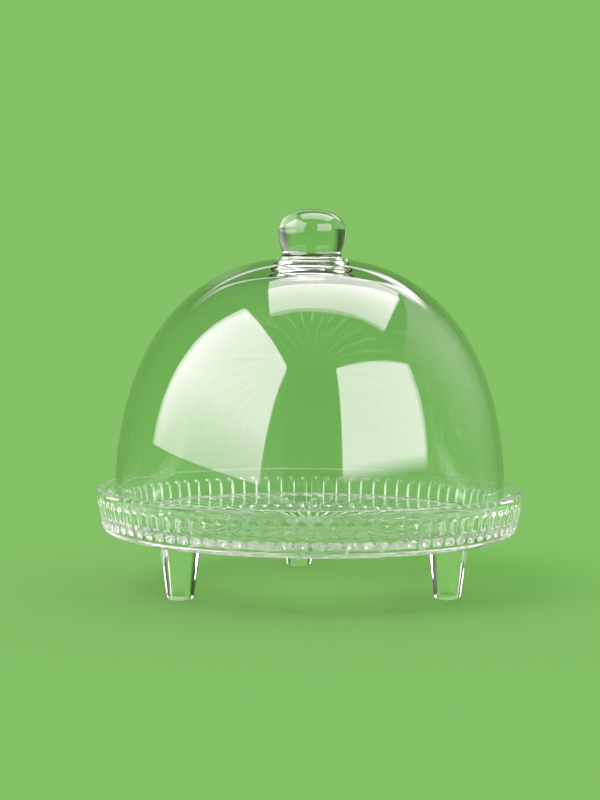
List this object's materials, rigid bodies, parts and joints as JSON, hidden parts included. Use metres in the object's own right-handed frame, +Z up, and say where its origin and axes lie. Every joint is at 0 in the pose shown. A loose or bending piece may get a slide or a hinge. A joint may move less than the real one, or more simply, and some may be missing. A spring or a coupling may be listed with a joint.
{
  "type": "footed glass plate with dome cover",
  "caption": "Clear glass dome with a ball knob, lifting off a footed pressed-glass plate with a fluted rim and a sunburst underside; it covers and shows cakes, cheese or cold dishes.",
  "frame": {"origin": "centre of the circle through the three feet, on the surface that they stand on", "axes": "+Z up along the axis of plate and dome, -Y to the front between the two front feet, +X to the viewer's right"},
  "size_m": [0.22, 0.22, 0.1951],
  "materials": {
    "dome_glass": "clear blown glass, fire-polished, very slightly wavy",
    "plate_glass": "clear pressed glass, fire-polished, soft edges from the mould"
  },
  "bodies": {
    "footed_plate": {"plate": "plate_glass", "foot_back": "plate_glass", "foot_front_left": "plate_glass", "foot_front_right": "plate_glass"},
    "cover": {"dome_shell": "dome_glass", "knob": "dome_glass"}
  },
  "joints": [
    {"name": "cover_lift", "type": "slide", "parent": "footed_plate", "child": "cover", "axis": [0, 0, 1], "range_m": [0, 0.15]}
  ]
}
